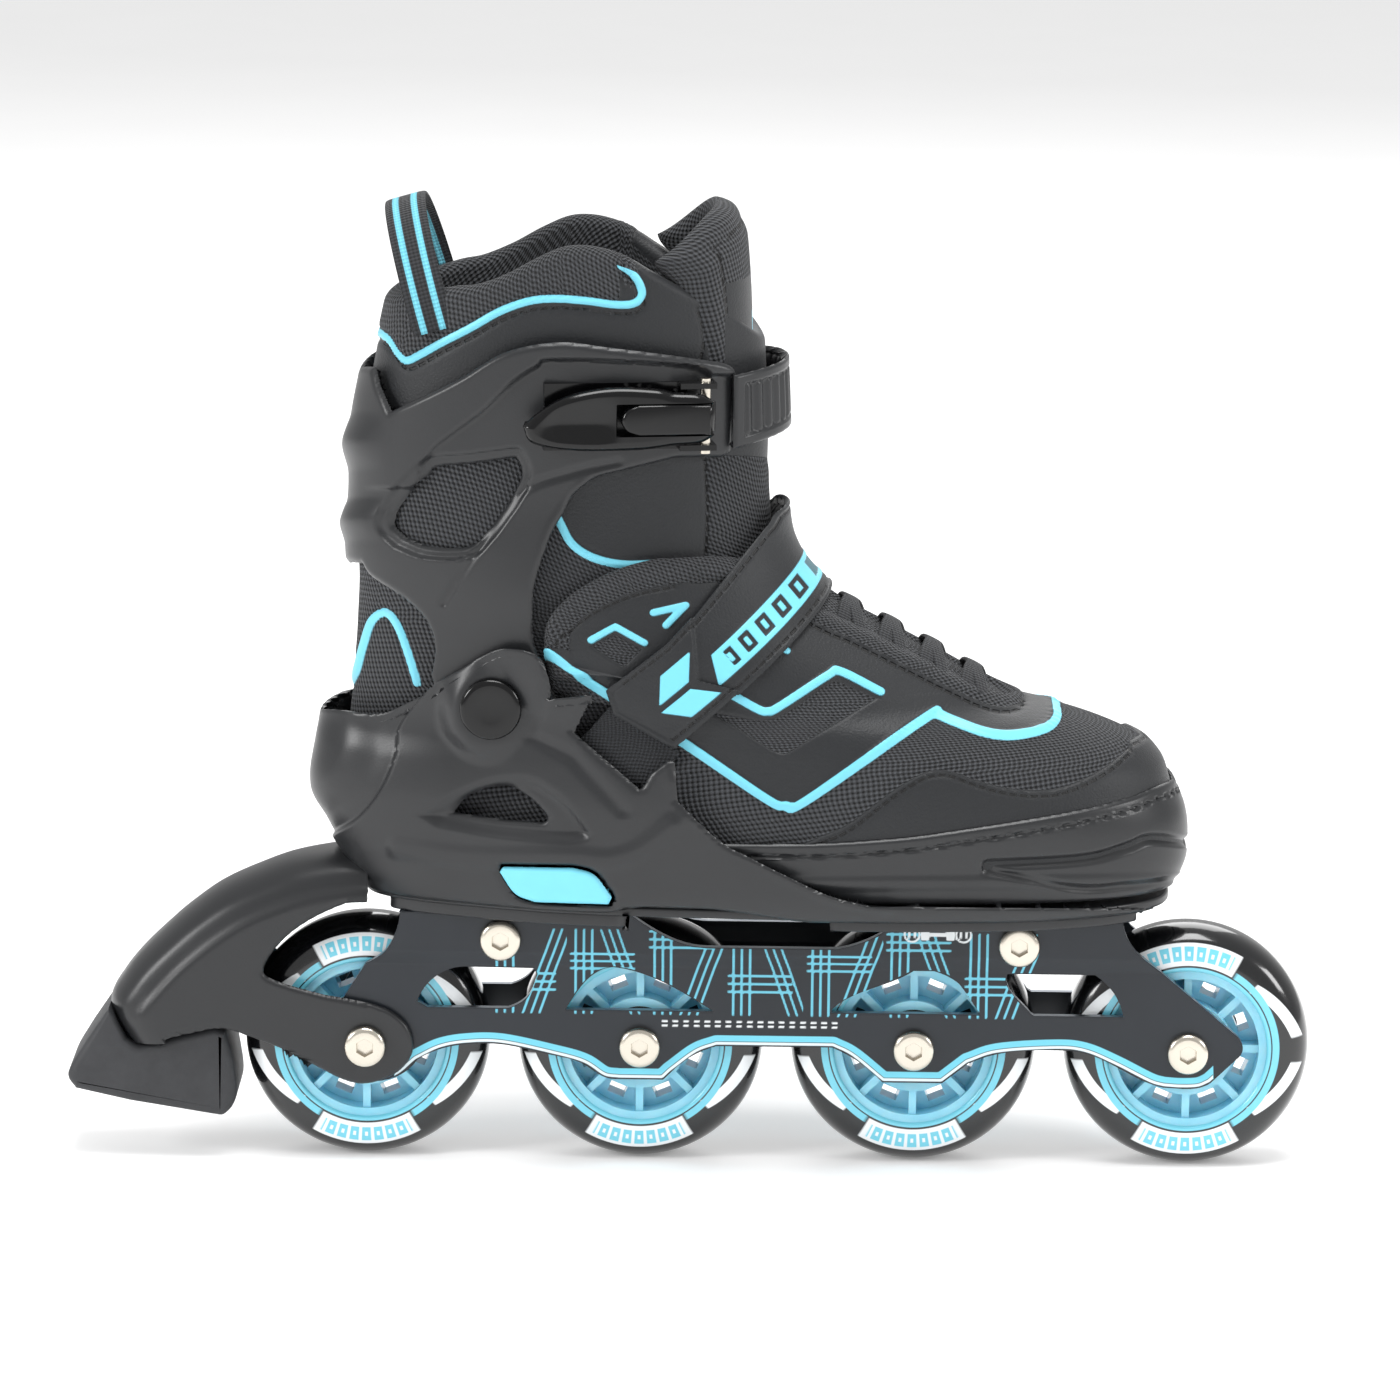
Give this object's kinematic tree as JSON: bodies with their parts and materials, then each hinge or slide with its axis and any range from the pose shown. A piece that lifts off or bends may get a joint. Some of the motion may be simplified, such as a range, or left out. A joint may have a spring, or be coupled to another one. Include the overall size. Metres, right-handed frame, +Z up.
{
  "type": "inline skate",
  "caption": "Adjustable inline skate with soft boot, hinged cuff, ratchet buckle, sliding toe part, plate frame, urethane wheels and a heel brake.",
  "frame": {"origin": "on the floor under the middle of the wheelbase, in the plane of the wheels", "axes": "+X towards the toe, +Z up, -Y towards the outer side of the right foot"},
  "size_m": [0.3632, 0.0982, 0.2859],
  "materials": {
    "moulded_plastic": "fine moulded texture",
    "gloss_black_plastic": "polished",
    "blue_plastic": "satin",
    "brake_rubber": "moulded rubber",
    "coated_aluminium": "satin powder coat",
    "bright_steel": "turned and plated",
    "spacer_aluminium": "turned",
    "liner_fabric": "padded mesh and synthetic leather",
    "upper_leather": "synthetic leather",
    "webbing": "woven polyester",
    "insole_foam": "foam with knitted cover",
    "tyre_urethane": "cast urethane, glossy",
    "hub_blue": "translucent moulded nylon"
  },
  "bodies": {
    "chassis": {"shell": "moulded_plastic", "pivot_pins": "bright_steel", "pivot_caps": "gloss_black_plastic", "frame_plate_outer": "coated_aluminium", "frame_plate_inner": "coated_aluminium", "frame_bolts": "bright_steel", "frame_nuts": "bright_steel", "axle_bolts": "bright_steel", "axle_barrels": "bright_steel", "axle_washers": "bright_steel", "bearing_inner_rings": "bright_steel", "bearing_spacers": "spacer_aluminium", "brake_housing": "moulded_plastic", "brake_pad": "brake_rubber", "brake_pad_screw": "bright_steel", "heel_liner": "liner_fabric", "insole": "insole_foam"},
    "toe_part": {"toe_cap": "moulded_plastic", "toe_slide_plate": "moulded_plastic", "toe_upper": "upper_leather", "instep_strap": "upper_leather", "strap_webbing": "webbing", "laces": "webbing"},
    "cuff_part": {"cuff": "moulded_plastic", "ankle_collar": "liner_fabric", "tongue": "liner_fabric", "pull_loop": "webbing", "buckle_base": "moulded_plastic", "buckle_rivets": "bright_steel", "buckle_pin": "bright_steel", "ladder_strap": "moulded_plastic", "ladder_rivet": "bright_steel"},
    "lever": {"buckle_lever": "gloss_black_plastic"},
    "trigger": {"release_trigger": "moulded_plastic"},
    "button": {"size_button": "blue_plastic", "button_spring": "bright_steel"},
    "wheel_1": {"tyre_1": "tyre_urethane", "hub_1": "hub_blue", "bearing_outer_rings_1": "bright_steel", "bearing_balls_1": "bright_steel"},
    "wheel_2": {"tyre_2": "tyre_urethane", "hub_2": "hub_blue", "bearing_outer_rings_2": "bright_steel", "bearing_balls_2": "bright_steel"},
    "wheel_3": {"tyre_3": "tyre_urethane", "hub_3": "hub_blue", "bearing_outer_rings_3": "bright_steel", "bearing_balls_3": "bright_steel"},
    "wheel_4": {"tyre_4": "tyre_urethane", "hub_4": "hub_blue", "bearing_outer_rings_4": "bright_steel", "bearing_balls_4": "bright_steel"}
  },
  "joints": [
    {"name": "cuff_lean", "type": "hinge", "parent": "chassis", "child": "cuff_part", "pos_m": [-0.083, 0, 0.141], "axis": [0, 1, 0], "range_deg": [-5, 7], "stiffness_Nm_per_rad": 20},
    {"name": "toe_extension", "type": "slide", "parent": "chassis", "child": "toe_part", "axis": [1, 0, 0], "range_m": [0, 0.02]},
    {"name": "size_button_press", "type": "slide", "parent": "chassis", "child": "button", "axis": [0, 1, 0], "range_m": [0, 0.003], "stiffness_N_per_m": 300},
    {"name": "buckle_open", "type": "hinge", "parent": "cuff_part", "child": "lever", "pos_m": [-0.0225, -0.0355, 0.226], "axis": [0, 0, 1], "range_deg": [0, 100]},
    {"name": "trigger_lift", "type": "hinge", "parent": "lever", "child": "trigger", "pos_m": [-0.0225, -0.0355, 0.226], "axis": [0, 0, 1], "range_deg": [0, 25], "stiffness_Nm_per_rad": 0.03},
    {"name": "wheel_spin_1", "type": "hinge", "parent": "chassis", "child": "wheel_1", "pos_m": [-0.12, 0, 0.036], "axis": [0, 1, 0], "continuous": true},
    {"name": "wheel_spin_2", "type": "hinge", "parent": "chassis", "child": "wheel_2", "pos_m": [-0.04, 0, 0.036], "axis": [0, 1, 0], "continuous": true},
    {"name": "wheel_spin_3", "type": "hinge", "parent": "chassis", "child": "wheel_3", "pos_m": [0.04, 0, 0.036], "axis": [0, 1, 0], "continuous": true},
    {"name": "wheel_spin_4", "type": "hinge", "parent": "chassis", "child": "wheel_4", "pos_m": [0.12, 0, 0.036], "axis": [0, 1, 0], "continuous": true}
  ]
}
